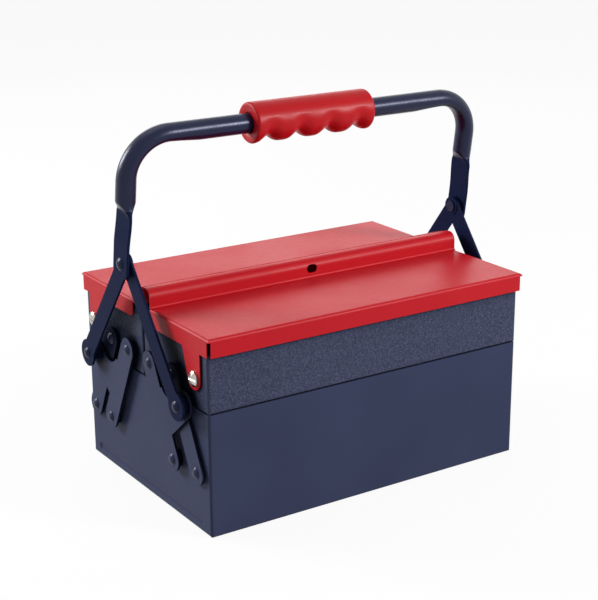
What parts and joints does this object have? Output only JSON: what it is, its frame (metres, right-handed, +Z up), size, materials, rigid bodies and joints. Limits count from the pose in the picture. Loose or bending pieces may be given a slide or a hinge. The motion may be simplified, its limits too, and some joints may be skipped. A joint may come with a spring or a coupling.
{
  "type": "cantilever tool box",
  "caption": "Sheet steel tool box whose lidded trays spread on cranked links as the tube handle comes down; hinged lids, padlock ridge, finger-grooved grip.",
  "frame": {"origin": "middle of the underside, on the surface the box stands on", "axes": "+X along the box to its right-hand end, -Y to the front with the padlock ridge's flat side, +Z up"},
  "size_m": [0.3446, 0.2134, 0.3147],
  "materials": {
    "navy_paint": "satin enamel with a fine orange-peel texture",
    "dark_navy_paint": "gloss enamel",
    "red_paint": "satin gloss enamel",
    "red_plastic": "moulded, slightly matt",
    "nickel_steel": "bright nickel plate"
  },
  "bodies": {
    "base": {"base_bin": "navy_paint", "base_link_rivets": "navy_paint", "base_link_spacers": "navy_paint"},
    "handle_rivet_pair": {"handle_rivets": "dark_navy_paint", "handle_rivet_washers": "dark_navy_paint"},
    "handle": {"handle_tube": "dark_navy_paint", "handle_grip": "red_plastic"},
    "front_cranks": {"front_crank_left": "navy_paint", "front_crank_right": "navy_paint", "front_arm_rivets": "dark_navy_paint", "front_arm_spacers": "dark_navy_paint"},
    "front_links": {"front_link_left": "navy_paint", "front_link_right": "navy_paint"},
    "front_tray": {"front_tray_bin": "navy_paint", "front_tray_rivets": "navy_paint", "front_tray_spacers": "navy_paint", "front_lid_screws": "nickel_steel", "front_lid_nuts": "nickel_steel"},
    "front_lid_panel": {"front_lid": "red_paint"},
    "front_arms": {"front_arm_left": "dark_navy_paint", "front_arm_right": "dark_navy_paint"},
    "rear_cranks": {"rear_crank_left": "navy_paint", "rear_crank_right": "navy_paint", "rear_arm_rivets": "dark_navy_paint", "rear_arm_spacers": "dark_navy_paint"},
    "rear_links": {"rear_link_left": "navy_paint", "rear_link_right": "navy_paint"},
    "rear_tray": {"rear_tray_bin": "navy_paint", "rear_tray_rivets": "navy_paint", "rear_tray_spacers": "navy_paint", "rear_lid_screws": "nickel_steel", "rear_lid_nuts": "nickel_steel"},
    "rear_lid_panel": {"rear_lid": "red_paint"},
    "rear_arms": {"rear_arm_left": "dark_navy_paint", "rear_arm_right": "dark_navy_paint"}
  },
  "joints": [
    {"name": "tray_spread", "type": "hinge", "parent": "base", "child": "front_cranks", "pos_m": [0, -0.0532, 0.05], "axis": [1, 0, 0], "range_deg": [0, 53]},
    {"name": "front_tray_level", "type": "hinge", "parent": "front_cranks", "child": "front_tray", "pos_m": [0, -0.0187, 0.119], "axis": [1, 0, 0], "range_deg": [-53.5, 0.5]},
    {"name": "front_link_swing", "type": "hinge", "parent": "base", "child": "front_links", "pos_m": [0, -0.0864, 0.05], "axis": [1, 0, 0], "range_deg": [-0.5, 53.5]},
    {"name": "rear_crank_swing", "type": "hinge", "parent": "base", "child": "rear_cranks", "pos_m": [0, 0.0532, 0.05], "axis": [1, 0, 0], "range_deg": [-53.5, 0.5]},
    {"name": "rear_tray_level", "type": "hinge", "parent": "rear_cranks", "child": "rear_tray", "pos_m": [0, 0.0187, 0.119], "axis": [1, 0, 0], "range_deg": [-0.5, 53.5]},
    {"name": "rear_link_swing", "type": "hinge", "parent": "base", "child": "rear_links", "pos_m": [0, 0.0864, 0.05], "axis": [1, 0, 0], "range_deg": [-53.5, 0.5]},
    {"name": "front_arm_swing", "type": "hinge", "parent": "front_cranks", "child": "front_arms", "pos_m": [0, -0.074, 0.1022], "axis": [1, 0, 0], "range_deg": [-80, 0.5]},
    {"name": "rear_arm_swing", "type": "hinge", "parent": "rear_cranks", "child": "rear_arms", "pos_m": [0, 0.074, 0.1022], "axis": [1, 0, 0], "range_deg": [-0.5, 80]},
    {"name": "handle_rivet_level", "type": "hinge", "parent": "front_arms", "child": "handle_rivet_pair", "pos_m": [0, 0, 0.1973], "axis": [1, 0, 0], "range_deg": [-0.5, 27]},
    {"name": "handle_swing", "type": "hinge", "parent": "handle_rivet_pair", "child": "handle", "pos_m": [0, 0, 0.1973], "axis": [1, 0, 0], "range_deg": [-48.5, 29.5]},
    {"name": "front_lid_open", "type": "hinge", "parent": "front_tray", "child": "front_lid_panel", "pos_m": [0, -0.0855, 0.1264], "axis": [1, 0, 0], "range_deg": [0, 98]},
    {"name": "rear_lid_open", "type": "hinge", "parent": "rear_tray", "child": "rear_lid_panel", "pos_m": [0, 0.0855, 0.1264], "axis": [-1, 0, 0], "range_deg": [0, 98]}
  ],
  "couplings": [
    {"joint": "front_tray_level", "follows": "tray_spread", "ratio": -1},
    {"joint": "front_link_swing", "follows": "tray_spread", "ratio": 1},
    {"joint": "rear_crank_swing", "follows": "tray_spread", "ratio": -1},
    {"joint": "rear_tray_level", "follows": "tray_spread", "ratio": 1},
    {"joint": "rear_link_swing", "follows": "tray_spread", "ratio": -1},
    {"joint": "front_arm_swing", "follows": "tray_spread", "ratio": -1.5},
    {"joint": "rear_arm_swing", "follows": "tray_spread", "ratio": 1.5},
    {"joint": "handle_rivet_level", "follows": "tray_spread", "ratio": 0.5}
  ]
}
